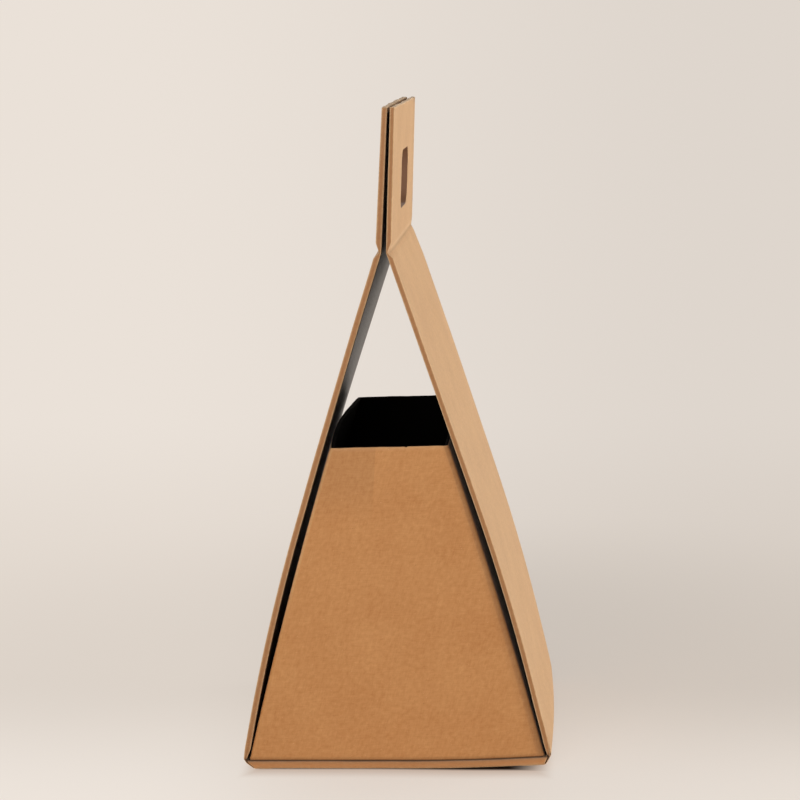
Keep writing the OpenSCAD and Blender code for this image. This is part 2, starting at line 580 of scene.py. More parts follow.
    def _ring(self, made: SheetMesh, loops: list[np.ndarray],
              grid: list[tuple[float, float, float, float]], hole: tuple[int, ...],
              width: int, other: int) -> None:
        """Fills the patch round the slot on both faces, and makes the slot's wall.

        Args:
            made: Mesh to add to.
            loops: Numbers of each row's points.
            grid: The board's rows.
            hole: First and last row and column that bound the patch.
            width: Number of columns.
            other: Number of points in half a loop.
        """
        first, last, left, right = hole
        corners = ([(i, left) for i in range(first, last)] + [(last, j) for j in range(left, right)]
                   + [(i, right) for i in range(last, first, -1)]
                   + [(first, j) for j in range(right, left, -1)])
        u = np.array([grid[i][0] for i, _ in corners])
        v = np.array([self.columns[j] for _, j in corners])
        edge = np.column_stack([u - self.slot_centre, v])
        thick = self.thick(u)
        base = self.base(u)
        lip = min(self.radius, self.slot_edge_r)
        turns = quarter_turn(self.steps)[1:]
        walls = []
        for inner in (False, True):
            if inner:
                ring = np.array([loops[i][other + width - 1 - j] for i, j in corners])
            else:
                ring = np.array([loops[i][j] for i, j in corners])
            contour = self.slot.outline(edge, self.slot_margin + lip)
            raised = self.slot_lip if inner else 0.0
            for share, lift in self.slot_rings:
                flat = edge * (1.0 - share) + contour * share
                ring = self._loop(made, ring, flat, thick, base, -raised * lift, inner, 0.0)
            for turn in turns:
                flat = self.slot.outline(edge, self.slot_margin + lip * (1.0 - math.sin(turn)))
                ring = self._loop(made, ring, flat, thick, base,
                                  lip * (1.0 - math.cos(turn)) - raised, inner,
                                  float(worn_edge(turn / turns[-1])))
            flat = self.slot.outline(edge, self.slot_margin)
            walls.append(self._loop(made, ring, flat, thick, base,
                                    self.slot_deep * lip - raised, inner, 0.0, 1.0))
        made.quads(walls[0], walls[1], True)

    def _loop(self, made: SheetMesh, ring: np.ndarray, flat: np.ndarray, thick: np.ndarray,
              base: np.ndarray, depth: float, inner: bool, worn: float,
              core: float = 0.0) -> np.ndarray:
        """Adds a contour round the slot, joined to the one before.

        Args:
            made: Mesh to add to.
            ring: Numbers of the points of the contour before.
            flat: Places of the contour from the slot's centre, up and along.
            thick: Thickness of the board at each place.
            base: Depth of the board's outer face at each place.
            depth: How far the contour lies below its face.
            inner: Whether that is the inner face.
            worn: Share of fold wear.
            core: Share of raw board.

        Returns:
            The new points' numbers.
        """
        level = thick - depth if inner else np.full(len(flat), depth)
        u = flat[:, 0] + self.slot_centre
        points = self.place(u, flat[:, 1], level + base)
        sheet = np.column_stack([u, flat[:, 1] + (self.inner_sheet if inner else 0.0)])
        new = made.add(points, sheet, worn, 0.0, core)
        made.quads(ring, new, True)
        return new


def spread(*stops: tuple[float, float]) -> np.ndarray:
    """Row or column places.

    Args:
        stops: Pairs of an end and the largest step up to it. The first step isn't used.

    Returns:
        The places from the first end to the last.
    """
    places = [stops[0][0]]
    for end, step in stops[1:]:
        count = max(1, math.ceil(abs(end - places[-1]) / step - 1e-9))
        places.extend(np.linspace(places[-1], end, count + 1)[1:])
    return np.array(places)


@dataclass(frozen=True)
class Hump:
    """Swelling along a flap, which eases in and fades again by a share."""

    height: float
    start: float
    full: float
    fade_from: float
    fade_to: float
    fade: float = 1.0

    def at(self, along: np.ndarray) -> np.ndarray:
        """Height of the hump at each distance along the flap."""
        faded = 1.0 - self.fade * smooth(self.fade_from, self.fade_to, along)
        return self.height * smooth(self.start, self.full, along) * faded


@dataclass
class CoverFlap:
    """One flap of the cover: a wrapped board wall and handle panel, with its black lining."""

    side: Side
    depth: float = 155.0
    board: float = 2.4
    foot_board: float = 1.3
    taper: float = 6.0
    lining_from: float = 9.0
    edge_r: float = 0.55
    lining: float = 0.2
    margin: float = 2.6
    handle_bow: float = 0.5
    middle_push: float = 0.35
    edge_ease: float = 4.0
    edge_wave: float = 0.10
    top_wave: float = 0.26
    cut_wave: float = 0.3
    # Shares of painted shade: in the crevice at the foot, in the crease, and as a shadow on the
    # back corners at the top.
    crevice_shade_share: float = 0.9
    crease_shade_share: float = 0.2
    corner_shadow_share: float = 0.38
    crease_wear: float = 0.4
    top_wear: float = 0.9
    outer_skin: float = 0.1
    lining_edge_r: float = 0.08
    crease: Crease = Crease()
    slot: Slot = Slot()

    def __post_init__(self) -> None:
        """Works out the flap's line and where it bulges."""
        self.line = FlapLine(self.side)
        wall = self.line.wall_l
        self.push = Hump(2.3, 30.0, 150.0, 150.0, wall, 0.75)
        self.front = Hump(0.3, 120.0, 160.0, wall - 40.0, wall)
        self.lift = Hump(0.7, 110.0, 200.0, wall - 20.0, wall)
        self.foot = Hump(1.0, 0.0, 5.0, 6.0, 28.0)

    @property
    def body(self) -> str:
        """Name of the body that the flap belongs to."""
        return f"{self.side.name.lower()}_flap"

    def thickness(self, along: np.ndarray) -> np.ndarray:
        """Thickness of the board, which thins towards its foot.

        Args:
            along: Distance from the foot.

        Returns:
            Thickness at each place.
        """
        share = smooth(-1.0, self.taper, along)
        thin = self.line.pressed * smooth(self.line.wall_l + 10.0, self.line.top, along)
        return self.foot_board + (self.board - self.foot_board) * share - thin + self.swell(along)

    def swell(self, along: np.ndarray) -> np.ndarray:
        """Extra thickness outside the flap's line."""
        return SWELL[self.side] * smooth(-3.0, 6.0, along)

    def bulge(self, along: np.ndarray, across: np.ndarray) -> np.ndarray:
        """How far the flap stands outside its line.

        Args:
            along: Distance from the foot.
            across: Distance behind the middle of the depth.

        Returns:
            Outward distance.
        """
        back = smooth(-self.depth / 2.0, self.depth / 2.0, across)
        middle = np.cos(np.pi * across / self.depth)
        wall = self.line.wall_l
        grip = smooth(wall + 4.0, wall + 30.0, along)
        out = self.handle_bow * middle * grip + self.swell(along)
        if self.side is Side.LEFT:
            push = self.push.at(along) * np.maximum(back, self.middle_push * middle)
            return out + self.front.at(along) + push
        return out + self.lift.at(along) * back + self.foot.at(along) * splay(across)

    def painted_shade(self, along: np.ndarray, across: np.ndarray, inner: np.ndarray) -> np.ndarray:
        """Painted shade in the crevice at the foot and in the crease, and painted shadow on the
        back corners at the top.

        Args:
            along: Distance from the foot.
            across: Distance behind the middle of the depth.
            inner: Distance in from the outer face.

        Returns:
            Share of painted shade at each place.
        """
        outer = inner < self.outer_skin
        crevice_shade = self.crevice_shade_share * (1.0 - smooth(-0.5, 1.2, along)) * smooth(0.1, 0.9, inner)
        crease = self.crease_shade_share * np.exp(-((along - self.line.wall_l) / 0.8) ** 2) * outer
        top = smooth(self.line.top - 2.4, self.line.top - 0.4, along)
        back = self.depth / 2.0
        corner = self.corner_shadow_share * top * smooth(back - 26.0, back - 7.0, across)
        return np.maximum(crevice_shade, np.maximum(crease, corner))

    def wear(self, along: np.ndarray, across: np.ndarray, inner: np.ndarray) -> np.ndarray:
        """Wear on the outer face beside the crease, and on the top edge.

        Args:
            along: Distance from the foot.
            across: Distance behind the middle of the depth; not used.
            inner: Distance in from the outer face.

        Returns:
            Share of fold wear at each place.
        """
        beside = np.exp(-((along - self.line.wall_l - 2.0) / 0.9) ** 2) * (inner < self.outer_skin)
        top = smooth(self.line.top - 0.6, self.line.top, along)
        return np.maximum(self.crease_wear * beside, self.top_wear * top)

    def place(self, along: np.ndarray, across: np.ndarray, inner: np.ndarray) -> np.ndarray:
        """Bends the flat board to the flap's shape.

        Args:
            along: Distance from the foot.
            across: Distance behind the middle of the depth.
            inner: Distance in from the outer face.

        Returns:
            Points, one per row.
        """
        x, z, lean = self.line.at(along)
        share = np.clip(1.0 - inner / self.board, 0.0, 1.0)
        front = across + self.depth / 2.0
        sink = inner + self.crease.sink(along - self.line.wall_l, front) * share
        out = self.bulge(along, across) - sink
        near_edge = smooth(self.depth / 2.0 - self.edge_ease, self.depth / 2.0, np.abs(across))
        seed = 2.0 + self.side.value + np.sign(across)
        wave = self.edge_wave * near_edge * ripple(along, 37.0, seed)
        top = smooth(self.line.top - 3.0, self.line.top, along)
        lift = self.top_wave * top * ripple(across, 46.0, 1.3 * self.side.value)
        x = x + np.cos(lean) * out - np.sin(lean) * lift
        z = z + np.sin(lean) * out + np.cos(lean) * lift
        return np.column_stack([self.side.value * x, across + wave, z])

    def rows(self, start: float, end: float) -> np.ndarray:
        """Rows of a sheet, close together at the crease and round the slot.

        Args:
            start: Place of the first row.
            end: Place of the last row.

        Returns:
            The rows' distances from the foot.
        """
        wall = self.line.wall_l
        low = wall + self.slot.rise - self.slot.patch
        high = wall + self.slot.rise + self.slot.height + self.slot.patch
        return spread((start, 0.0), (start + 1.4, 0.7), (self.lining_from + 3.0, 1.5),
                      (wall - 7.0, 5.0), (wall + 7.0, 0.5), (low, 1.5), (high, 2.05),
                      (end - 1.4, 2.4), (end, 0.7))

    def columns(self, half: float) -> np.ndarray:
        """Columns of a sheet, close together at its edges and round the slot.

        Args:
            half: Half of the sheet's depth.

        Returns:
            The columns' distances behind the middle.
        """
        reach = self.slot.length / 2.0 + self.slot.patch
        inner = half - 1.2
        return spread((-half, 0.0), (-inner, 0.6), (-reach, 4.0), (reach, 2.0), (inner, 4.0),
                      (half, 0.6))

    def build(self) -> list[bpy.types.Object]:
        """Makes the wrapped board and its lining, and hides the solids that they stand for.

        Returns:
            The board and the lining.
        """
        name = self.side.name.lower()
        half = self.depth / 2.0
        centre = self.line.wall_l + self.slot.rise + self.slot.height / 2.0
        board = Slab(rows=self.rows(-0.9, self.line.top), columns=self.columns(half - self.edge_r),
                     half=half, thick=self.thickness, radius=self.edge_r, place=self.place,
                     slot=self.slot, slot_centre=centre, painted_shade=self.painted_shade, wear=self.wear,
                     slot_lip=SLOT_LIP[self.side])
        cover = board.mesh().build(f"{name}_cover")
        sheet_half = half - self.margin
        sheet = Slab(rows=self.rows(self.lining_from, self.line.top - self.margin),
                     columns=self.columns(sheet_half - self.lining_edge_r), half=sheet_half,
                     thick=lambda along: np.full_like(along, self.lining),
                     radius=self.lining_edge_r, place=self.place_lining, base=self.thickness,
                     steps=2, slot=self.slot, slot_centre=centre, slot_margin=self.margin)
        lining = sheet.mesh().build(f"{name}_cover_lining")
        for piece, node, slot in ((cover, f"{name}_flap", "cover_kraft"),
                                  (lining, f"{name}_lining", "black_lining")):
            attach(piece, self.body)
            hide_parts(node)
        return [cover, lining]

    def place_lining(self, along: np.ndarray, across: np.ndarray,
                     inner: np.ndarray) -> np.ndarray:
        """Bends the lining to the flap's inner face, with hand-cut edges.

        Args:
            along: Distance from the foot.
            across: Distance behind the middle of the depth.
            inner: Distance in from the outer face.

        Returns:
            Points, one per row.
        """
        half = self.depth / 2.0 - self.margin
        edge = smooth(half - 6.0, half, np.abs(across))
        cut = self.cut_wave * edge * ripple(along, 61.0, 4.0 + np.sign(across))
        return self.place(along, across + cut, inner)


@dataclass
class BasePanel:
    """Wrapped board under the tray, with slanted ends and a curl at its right end."""

    half_l: float = 69.8
    reach: float = 4.3
    depth: float = 155.0
    thick: float = 4.0
    edge_r: float = 0.7
    curl_from: float = 8.0
    curl_rise: float = 2.2
    curl_end: float = 74.1
    blunt: float = 2.4
    slant_from: float = 8.0
    edge_ease: float = 4.0
    edge_wave: float = 0.12
    # Shares of painted shade in the crevice under the tray and of painted contact shadow along the
    # bottom edge.
    crevice_shade_share: float = 0.9
    table_shadow_share: float = 0.45

    def curl(self, x: np.ndarray) -> np.ndarray:
        """Height that the underside has curled up to.

        Args:
            x: Distance to the right of the middle.

        Returns:
            Height at each place.
        """
        share = np.clip((x - self.curl_from) / (self.curl_end - self.curl_from), 0.0, 1.3)
        return self.curl_rise * share ** 2

    def place(self, along: np.ndarray, across: np.ndarray, inner: np.ndarray) -> np.ndarray:
        """Point of the panel.

        Args:
            along: Distance to the right of the middle, on the underside.
            across: Distance behind the middle of the depth.
            inner: Height above the underside.

        Returns:
            Points, one per row.
        """
        slant = smooth(self.half_l - self.slant_from, self.half_l, np.abs(along))
        blunt = np.where(along > 0.0, self.blunt, 0.0) * slant
        share = inner / self.thick
        x = along + np.sign(along) * slant * self.reach * share + blunt * (1.0 - share)
        edge = smooth(self.depth / 2.0 - self.edge_ease, self.depth / 2.0, np.abs(across))
        wave = self.edge_wave * edge * ripple(along, 52.0, 3.0 + np.sign(across))
        lift = self.edge_wave * edge * (1.0 + ripple(along, 75.0, 5.0)) * share
        return np.column_stack([x, across + wave, inner + self.curl(x) + lift])

    def painted_shade(self, along: np.ndarray, across: np.ndarray, inner: np.ndarray) -> np.ndarray:
        """Painted shade in the crevice under the tray, and painted contact shadow on the edge that
        stands on the table.

        Args:
            along: Distance to the right of the middle; not used.
            across: Distance behind the middle of the depth.
            inner: Height above the underside.

        Returns:
            Share of painted shade at each place.
        """
        edge = smooth(self.depth / 2.0 - 1.6, self.depth / 2.0 - 0.5, np.abs(across))
        crevice_shade = self.crevice_shade_share * smooth(self.thick - 1.1, self.thick, inner)
        return edge * (crevice_shade + self.table_shadow_share * (1.0 - smooth(0.0, 0.6, inner)))

    def build(self) -> bpy.types.Object:
        """Makes the panel and hides the solid that it stands for.

        Returns:
            The panel.
        """
        half = self.depth / 2.0
        inner = half - self.edge_r
        columns = spread((-inner, 0.0), (-inner + 1.2, 0.6), (inner - 1.2, 4.0), (inner, 0.6))
        rows = spread((-self.half_l, 0.0), (-self.half_l + 3.0, 0.75), (self.half_l - 3.0, 3.0),
                      (self.half_l, 0.75))
        slab = Slab(rows=rows, columns=columns, half=half, radius=self.edge_r,
                    thick=lambda along: np.full_like(along, self.thick), place=self.place,
                    painted_shade=self.painted_shade)
        piece = slab.mesh().build("base_board")
        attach(piece, "base")
        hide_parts("base_panel")
        return piece


@dataclass
class Tray:
    """Folded kraft tray with sloping, slightly bowed walls and a black lining."""

    base: BasePanel
    height: float = 156.0
    foot_half: float = 72.4
    mouth_half: float = 28.35
    belly: float = 1.3
    half_d: float = 77.3
    corner: float = 1.7
    wall: float = 1.8
    rim_r: float = 0.5
    foot_r: float = 0.9
    lining: float = 0.2
    corner_steps: int = 6
    shade_to: float = -0.243
    shade_blur: float = 0.008
    nick_at: float = 0.306
    nick_half: float = 0.014
    nick_deep: float = 0.45
    bow_left: float = 3.4
    bow_right: float = 0.5
    rim_tilt: float = 0.35
    rim_wave: float = 0.12
    dent_deep: float = 0.45
    # Shares of painted shade: in the crevice at the foot, on the right fold and on the shaded top
    # corner.
    crevice_shade_share: float = 0.9
    fold_shade_share: float = 0.4
    shade_gloom: float = 0.12
    lap: float = 0.02

    def half(self, share: np.ndarray, across: np.ndarray, side: float) -> np.ndarray:
        """Half width of the tray.

        Args:
            share: Share of the tray's height.
            across: Distance behind the middle of the depth.
            side: -1 for the left wall and 1 for the right wall.

        Returns:
            Distance of the wall's outer face from the middle.
        """
        straight = self.foot_half + (self.mouth_half - self.foot_half) * share
        belly = self.belly * 4.0 * share * (1.0 - share)
        arch = np.cos(0.5 * np.pi * np.clip(across / self.half_d, -1.0, 1.0))
        bow = (self.bow_left if side < 0 else self.bow_right) * share ** 2 * arch
        return straight + belly + bow

    @property
    def edge(self) -> np.ndarray:
        """Places along a wall, close together at its ends, the shade's edge and the nick.

        Returns:
            The places as shares of the wall's half width.
        """
        return spread((-1.0, 0.0), (-0.97, 0.015), (self.shade_to - self.shade_blur, 0.05),
                      (self.shade_to + self.shade_blur, 0.016), (self.nick_at - 0.02, 0.05),
                      (self.nick_at + 0.02, 0.02), (0.97, 0.05), (1.0, 0.015))

    def ring(self, share: float, inset: float, rise: float) -> tuple[np.ndarray, ...]:
        """Loop round the tray.

        Args:
            share: Share of the tray's height.
            inset: Distance inside the outer skin.
            rise: Extra height above that share.

        Returns:
            Points, distance round the loop, share of fold wear, which on the left fold also paints
            a highlight, and share of painted shade.
        """
        radius = max(self.corner - inset, 0.15)
        deep = self.half_d - inset - radius
        turns = quarter_turn(self.corner_steps)[1:]
        places: list[tuple[float, float, float, float]] = []
        for wall in range(4):
            run = [(place, -1.0, 0.0, -1.0) for place in self.edge[min(wall, 1):]]
            run += [(1.0, -1.0, math.sin(turn), -math.cos(turn)) for turn in turns]
            for _ in range(wall):
                run = [(-b, a, -d, c) for a, b, c, d in run]
            places += run
        flat = np.array(places[:-1])
        y = flat[:, 1] * deep + flat[:, 3] * radius
        side = np.where(flat[:, 0] < 0.0, -1.0, 1.0)
        shares = np.full(len(y), share)
        wide = np.where(side < 0.0, self.half(shares, y, -1.0), self.half(shares, y, 1.0))
        x = flat[:, 0] * (wide - inset - radius) + flat[:, 2] * radius
        z = self.base.thick + share * self.height + rise
        z = z + self.base.curl(x) * (1.0 - share)
        y = y + self.dent(x, y, z)
        z = z + self.rim_tilt * (x / self.mouth_half) * share ** 8
        z = z + self.rim_wave * share ** 30 * ripple(x + y, 31.0, 0.7)
        front = flat[:, 1] < 0.0
        nick = np.exp(-((flat[:, 0] - self.nick_at) / self.nick_half) ** 2) * (flat[:, 3] < 0.0)
        z = z - self.nick_deep * share ** 200 * nick * front
        points = np.column_stack([x, y, np.broadcast_to(z, x.shape)])
        steps = np.linalg.norm(np.diff(points, axis=0), axis=1)
        around = np.concatenate([[0.0], np.cumsum(steps)])
        fold = 1.0 - np.abs(np.abs(flat[:, 2]) - 0.7) / 0.7
        fold = np.where((np.abs(flat[:, 2]) > 0.02) & (np.abs(flat[:, 3]) > 0.02), fold, 0.0)
        # Painted highlight: the left fold's wear grows up the wall to stand for the light along
        # that fold; the right fold keeps a little wear.
        wear_and_highlight = float(smooth(0.3, 0.65, share))
        fold = np.clip(fold, 0.0, 1.0) * np.where(side < 0.0, wear_and_highlight, 0.2)
        return points, around, fold, self.painted_shade(share, rise, flat, front)

    def painted_shade(self, share: float, rise: float, flat: np.ndarray,
              front: np.ndarray) -> np.ndarray:
        """Painted shade in the crevice at the tray's foot, on its right fold and on its shaded top
        corner.

        Args:
            share: Share of the tray's height.
            rise: Extra height above that share.
            flat: Places round the loop as shares of its half width and depth.
            front: Whether each place lies on the front wall.

        Returns:
            Share of painted shade at each place.
        """
        crevice_shade = self.crevice_shade_share * (1.0 - float(smooth(0.0, 1.5, share * self.height + rise)))
        fold = self.fold_shade_share * smooth(0.955, 1.0, flat[:, 0]) * front
        shaded = self.shade_gloom * float(smooth(0.74, 0.9, share)) * front
        shaded = shaded * (1.0 - smooth(self.shade_to - self.shade_blur,
                                        self.shade_to + self.shade_blur, flat[:, 0]))
        return np.maximum(crevice_shade, np.maximum(fold, shaded))

    def dent(self, x: np.ndarray, y: np.ndarray, z: np.ndarray) -> np.ndarray:
        """Shallow unevenness of the front and back walls.

        Args:
            x: Distance to the right of the middle.
            y: Distance behind the middle.
            z: Height.

        Returns:
            Distance to the back by which each place is moved.
        """
        inner = np.clip(1.0 - np.abs(x) / self.foot_half, 0.0, 1.0)
        share = np.clip((z - self.base.thick) / self.height, 0.0, 1.0)
        wave = np.sin(np.pi * share) * np.sin(np.pi * inner) * np.sin(0.05 * x + 1.0)
        wave = self.dent_deep * wave
        return wave * smooth(0.9 * self.half_d, self.half_d, np.abs(y)) * -np.sign(y)

    def skin(self, levels: list[tuple[float, ...]]) -> SheetMesh:
        """Joins loops into a mesh and closes its two ends.

        Args:
            levels: For each loop its share of the height, inset, extra height, share of fold
                and share of raw board.

        Returns:
            The mesh.
        """
        made = SheetMesh()
        loops = []
        travelled = 0.0
        last = None
        for share, inset, rise, worn, core in levels:
            points, around, fold, painted_shade = self.ring(share, inset, rise)
            if last is not None:
                travelled += float(np.linalg.norm(points[0] - last))
            last = points[0]
            sheet = np.column_stack([np.full(len(points), travelled), around])
            loops.append(made.add(points, sheet, np.maximum(fold, worn), 0.0, core, painted_shade))
        for first, second in zip(loops, loops[1:]):
            made.quads(first, second, True)
        self._lid(made, loops[0])
        self._lid(made, loops[-1])
        return made

    def _lid(self, made: SheetMesh, loop: np.ndarray) -> None:
        """Closes a loop with strips from its front to its back.

        Args:
            made: Mesh to add to.
            loop: Numbers of the loop's points.
        """
        edge = len(self.edge)
        quarter = self.corner_steps
        start = edge + quarter + edge - 1 + quarter - 1
        front = loop[:edge]
        back = loop[start:start + edge][::-1]
        made.quads(front, back, False)
        made.fan([front[-1], *loop[edge:start], back[-1]])
        made.fan([back[0], *loop[start + edge:], front[0]])

    def build(self) -> list[bpy.types.Object]:
        """Makes the tray and its lining, and hides the solids that they stand for.

        Returns:
            The tray and the lining.
        """
        turns = quarter_turn(4)
        foot = [(0.0, self.foot_r * (1.0 - math.sin(a)), self.foot_r * (1.0 - math.cos(a)), 0.0,
                 0.0) for a in turns]
        walls = [(share, 0.0, 0.0, 0.0, 0.0) for share in spread((0.015, 0.0), (0.985, 0.03))]
        outer_rim = [(1.0, self.rim_r * (1.0 - math.cos(a)), -self.rim_r * (1.0 - math.sin(a)),
                      0.35 + 0.65 * math.sin(2.0 * a), float(a > 1.5)) for a in turns]
        top = [(1.0, self.wall / 2.0, 0.0, 0.0, 1.0)]
        inner_rim = [(1.0, self.wall - self.rim_r * (1.0 - math.cos(a)),
                      -self.rim_r * (1.0 - math.sin(a)), 0.0, 1.0) for a in turns[::-1]]
        inside = [(share, self.wall, 0.0, 0.0, 1.0)
                  for share in spread((0.985, 0.0), (0.015, 0.1))]
        floor = [(0.0, self.wall, self.wall, 0.0, 1.0)]
        shell = self.skin(foot + walls + outer_rim + top + inner_rim + inside + floor)
        tray = shell.build("tray_card")
        outside, inner = self.wall + self.lap, self.wall + self.lining
        behind = [(0.0, outside, outside)]
        behind += [(share, outside, 0.0) for share in spread((0.015, 0.0), (0.985, 0.06))]
        over = [(1.0, outside, self.lap), (1.0, 0.45, self.lap), (1.0, 0.35, 0.05),
                (1.0, 0.45, 0.1), (1.0, self.wall - 0.4, 0.1), (1.0, inner, -0.2)]
        down = [(share, inner, 0.0) for share in spread((0.985, 0.0), (0.015, 0.06))]
        under = [(0.0, inner, inner)]
        sheet = self.skin([(*level, 0.0, 0.0) for level in behind + over + down + under])
        lining = sheet.build("tray_lining_sheet")
        for piece, node, slot in ((tray, "tray", "tray_kraft"),
                                  (lining, "tray_lining", "black_lining")):
            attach(piece, "base")
            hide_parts(node)
        return [tray, lining]


@dataclass
class HingePaper:
    """Paper that runs on from the base panel round a flap's foot."""

    flap: CoverFlap
    base: BasePanel
    thick: float = 0.16
    depth: float = 155.0
    hinge_x: float = 74.1
    lift: float = 0.03
    foot_r: float = 1.0
    sink: float = 0.08
    end: float = 0.3
    outer_top: float = 9.0
    inner_top: float = 11.0
    outer_cut: float = 0.25
    inner_cut: float = 1.2

    def bulge(self, along: np.ndarray, across: float) -> np.ndarray:
        """How far the strip stands outside the flap's line.

        Args:
            along: Distance from the flap's foot.
            across: Distance behind the middle of the depth.

        Returns:
            Outward distance at each place, which keeps the splay below the right fold too.
        """
        out = self.flap.bulge(along, np.full_like(along, across))
        if self.flap.side is Side.LEFT:
            return out
        return out + splay(across) * (1.0 - smooth(0.0, 5.0, along))

    def outer_path(self, across: float) -> np.ndarray:
        """Front view of the kraft strip, from under the base panel up the flap's outside.

        Args:
            across: Distance behind the middle of the depth.

        Returns:
            Distances from the middle and heights, one point per row.
        """
        base, side = self.base, self.flap.side.value
        right = self.flap.side is Side.RIGHT
        blunt = base.blunt if right else 0.0
        corner = base.half_l + blunt
        bow = float(splay(across)) if right else 0.0
        under = [(x + bow * float(smooth(corner - 8.0, corner, x)),
                  float(base.curl(np.array([side * x]))[0]) - self.lift)
                 for x in spread((61.0, 0.0), (corner - 0.4, 1.5))]
        end_z = float(base.curl(np.array([side * self.hinge_x]))[0])
        foot_z = self.flap.line.foot_z
        bevel = [(corner + bow + s * (base.reach - blunt) + 0.16,
                  end_z - 0.15 + s * (base.thick - 0.7)) for s in (0.12, 0.4, 0.7, 0.95)]
        turns = np.radians(np.linspace(-55.0, -5.0, 8))
        push = float(self.bulge(np.zeros(1), across)[0])
        round_foot = [(self.hinge_x + push + self.foot_r * math.cos(a),
                       foot_z + self.foot_r * math.sin(a)) for a in turns]
        along = spread((0.4, 0.0), (self.outer_top, 0.8))
        x, z, lean = self.flap.line.at(along)
        out = self.lift + self.bulge(along, across)
        wall = np.column_stack([x + np.cos(lean) * out, z + np.sin(lean) * out])
        return np.vstack([under, bevel, round_foot, wall])

    def inner_path(self, across: float) -> np.ndarray:
        """Front view of the black strip, from the base panel's top up the flap's inside.

        Args:
            across: Distance behind the middle of the depth.

        Returns:
            Distances from the middle and heights, one point per row.
        """
        side = self.flap.side.value
        top = self.base.thick + float(self.base.curl(np.array([side * 72.0]))[0])
        start = [(x, top + 0.06) for x in (71.2, 71.9, 72.5)]
        along = spread((0.6, 0.0), (self.inner_top, 0.8))
        x, z, lean = self.flap.line.at(along)
        inner = self.flap.thickness(along) + 0.10
        inner = inner - self.flap.bulge(along, np.full_like(along, across))
        wall = np.column_stack([x - np.cos(lean) * inner, z - np.sin(lean) * inner])
        return np.vstack([start, wall])

    def strip(self, path: Callable[[float], np.ndarray], name: str, half: float,
              into: float) -> bpy.types.Object:
        """Makes a strip of paper that follows a path in the front view at each depth.

        Args:
            path: Points of the visible face on the flap's own side, at a depth.
            name: Name of the piece.
            half: Half of the strip's depth.
            into: Sign of the side of the path on which the thickness lies.

        Returns:
            The strip.
        """
        inner = half - self.end
        across = spread((-half, 0.0), (-inner, 0.15), (inner, 5.0), (half, 0.15))
        fine = np.stack([self._resample(path(place)) for place in across], axis=1)
        ahead = np.gradient(fine, axis=0)
        ahead /= np.linalg.norm(ahead, axis=2)[:, :, None]
        normal = np.stack([ahead[:, :, 1], -ahead[:, :, 0]], axis=2) * into
        middle = fine[:, len(across) // 2]
        along = np.concatenate([[0.0], np.cumsum(np.linalg.norm(np.diff(middle, axis=0),
                                                                axis=1))])
        sunk = self.sink * (1.0 - smooth(0.0, 3.0, np.minimum(along, along[-1] - along)))
        made = SheetMesh()
        layers = []
        for level in (0.0, self.thick):
            shifted = fine - normal * (level + sunk)[:, None, None]
            layers.append([made.add(
                np.column_stack([self.flap.side.value * row[:, 0], across, row[:, 1]]),
                np.column_stack([np.full(len(across), place - along[-1] + self.outer_top), across]),
                0.0, 0.0) for row, place in zip(shifted, along)])
        front, back = layers
        for i in range(len(front) - 1):
            made.quads(front[i], front[i + 1], False)
            made.quads(back[i], back[i + 1], False)
            for end in (0, -1):
                made.face(front[i][end], back[i][end], back[i + 1][end], front[i + 1][end])
        for row in (0, -1):
            made.quads(front[row], back[row], False)
        return made.build(name)

    @staticmethod
    def _resample(path: np.ndarray, count: int = 64) -> np.ndarray:
        """Places points evenly along a path, with its corners eased.

        Args:
            path: Points of the path, one per row.
            count: How many points to place.

        Returns:
            The new points.
        """
        lengths = np.concatenate([[0.0], np.cumsum(np.linalg.norm(np.diff(path, axis=0), axis=1))])
        places = np.linspace(0.0, lengths[-1], count)
        fine = np.column_stack([np.interp(places, lengths, path[:, k]) for k in (0, 1)])
        for _ in range(2):
            fine[1:-1] = (fine[:-2] + 2.0 * fine[1:-1] + fine[2:]) / 4.0
        return fine

    def build(self) -> list[bpy.types.Object]:
        """Makes both strips, which bend between the base panel and the flap.

        Returns:
            The kraft strip and the black strip.
        """
        side = self.flap.side
        name = side.name.lower()
        half = self.depth / 2.0
        kraft = self.strip(self.outer_path, f"{name}_fold_paper", half - self.outer_cut, 1.0)
        black = self.strip(self.inner_path, f"{name}_fold_lining", half - self.inner_cut, -1.0)
        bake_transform(kraft)
        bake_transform(black)
        return [kraft, black]


# Finishes

Colour = Triple


def colour(red: int, green: int, blue: int) -> Colour:
    """Colour in the shaders' terms.

    Args:
        red: Red as seen on a screen, 0 to 255.
        green: Green as seen on a screen, 0 to 255.
        blue: Blue as seen on a screen, 0 to 255.

    Returns:
        The three channels, 0 to 1 and in proportion to their light.
    """
    def line(value: float) -> float:
        """One channel."""
        return value / 12.92 if value <= 0.04045 else ((value + 0.055) / 1.055) ** 2.4
    return tuple(line(c / 255.0) for c in (red, green, blue))


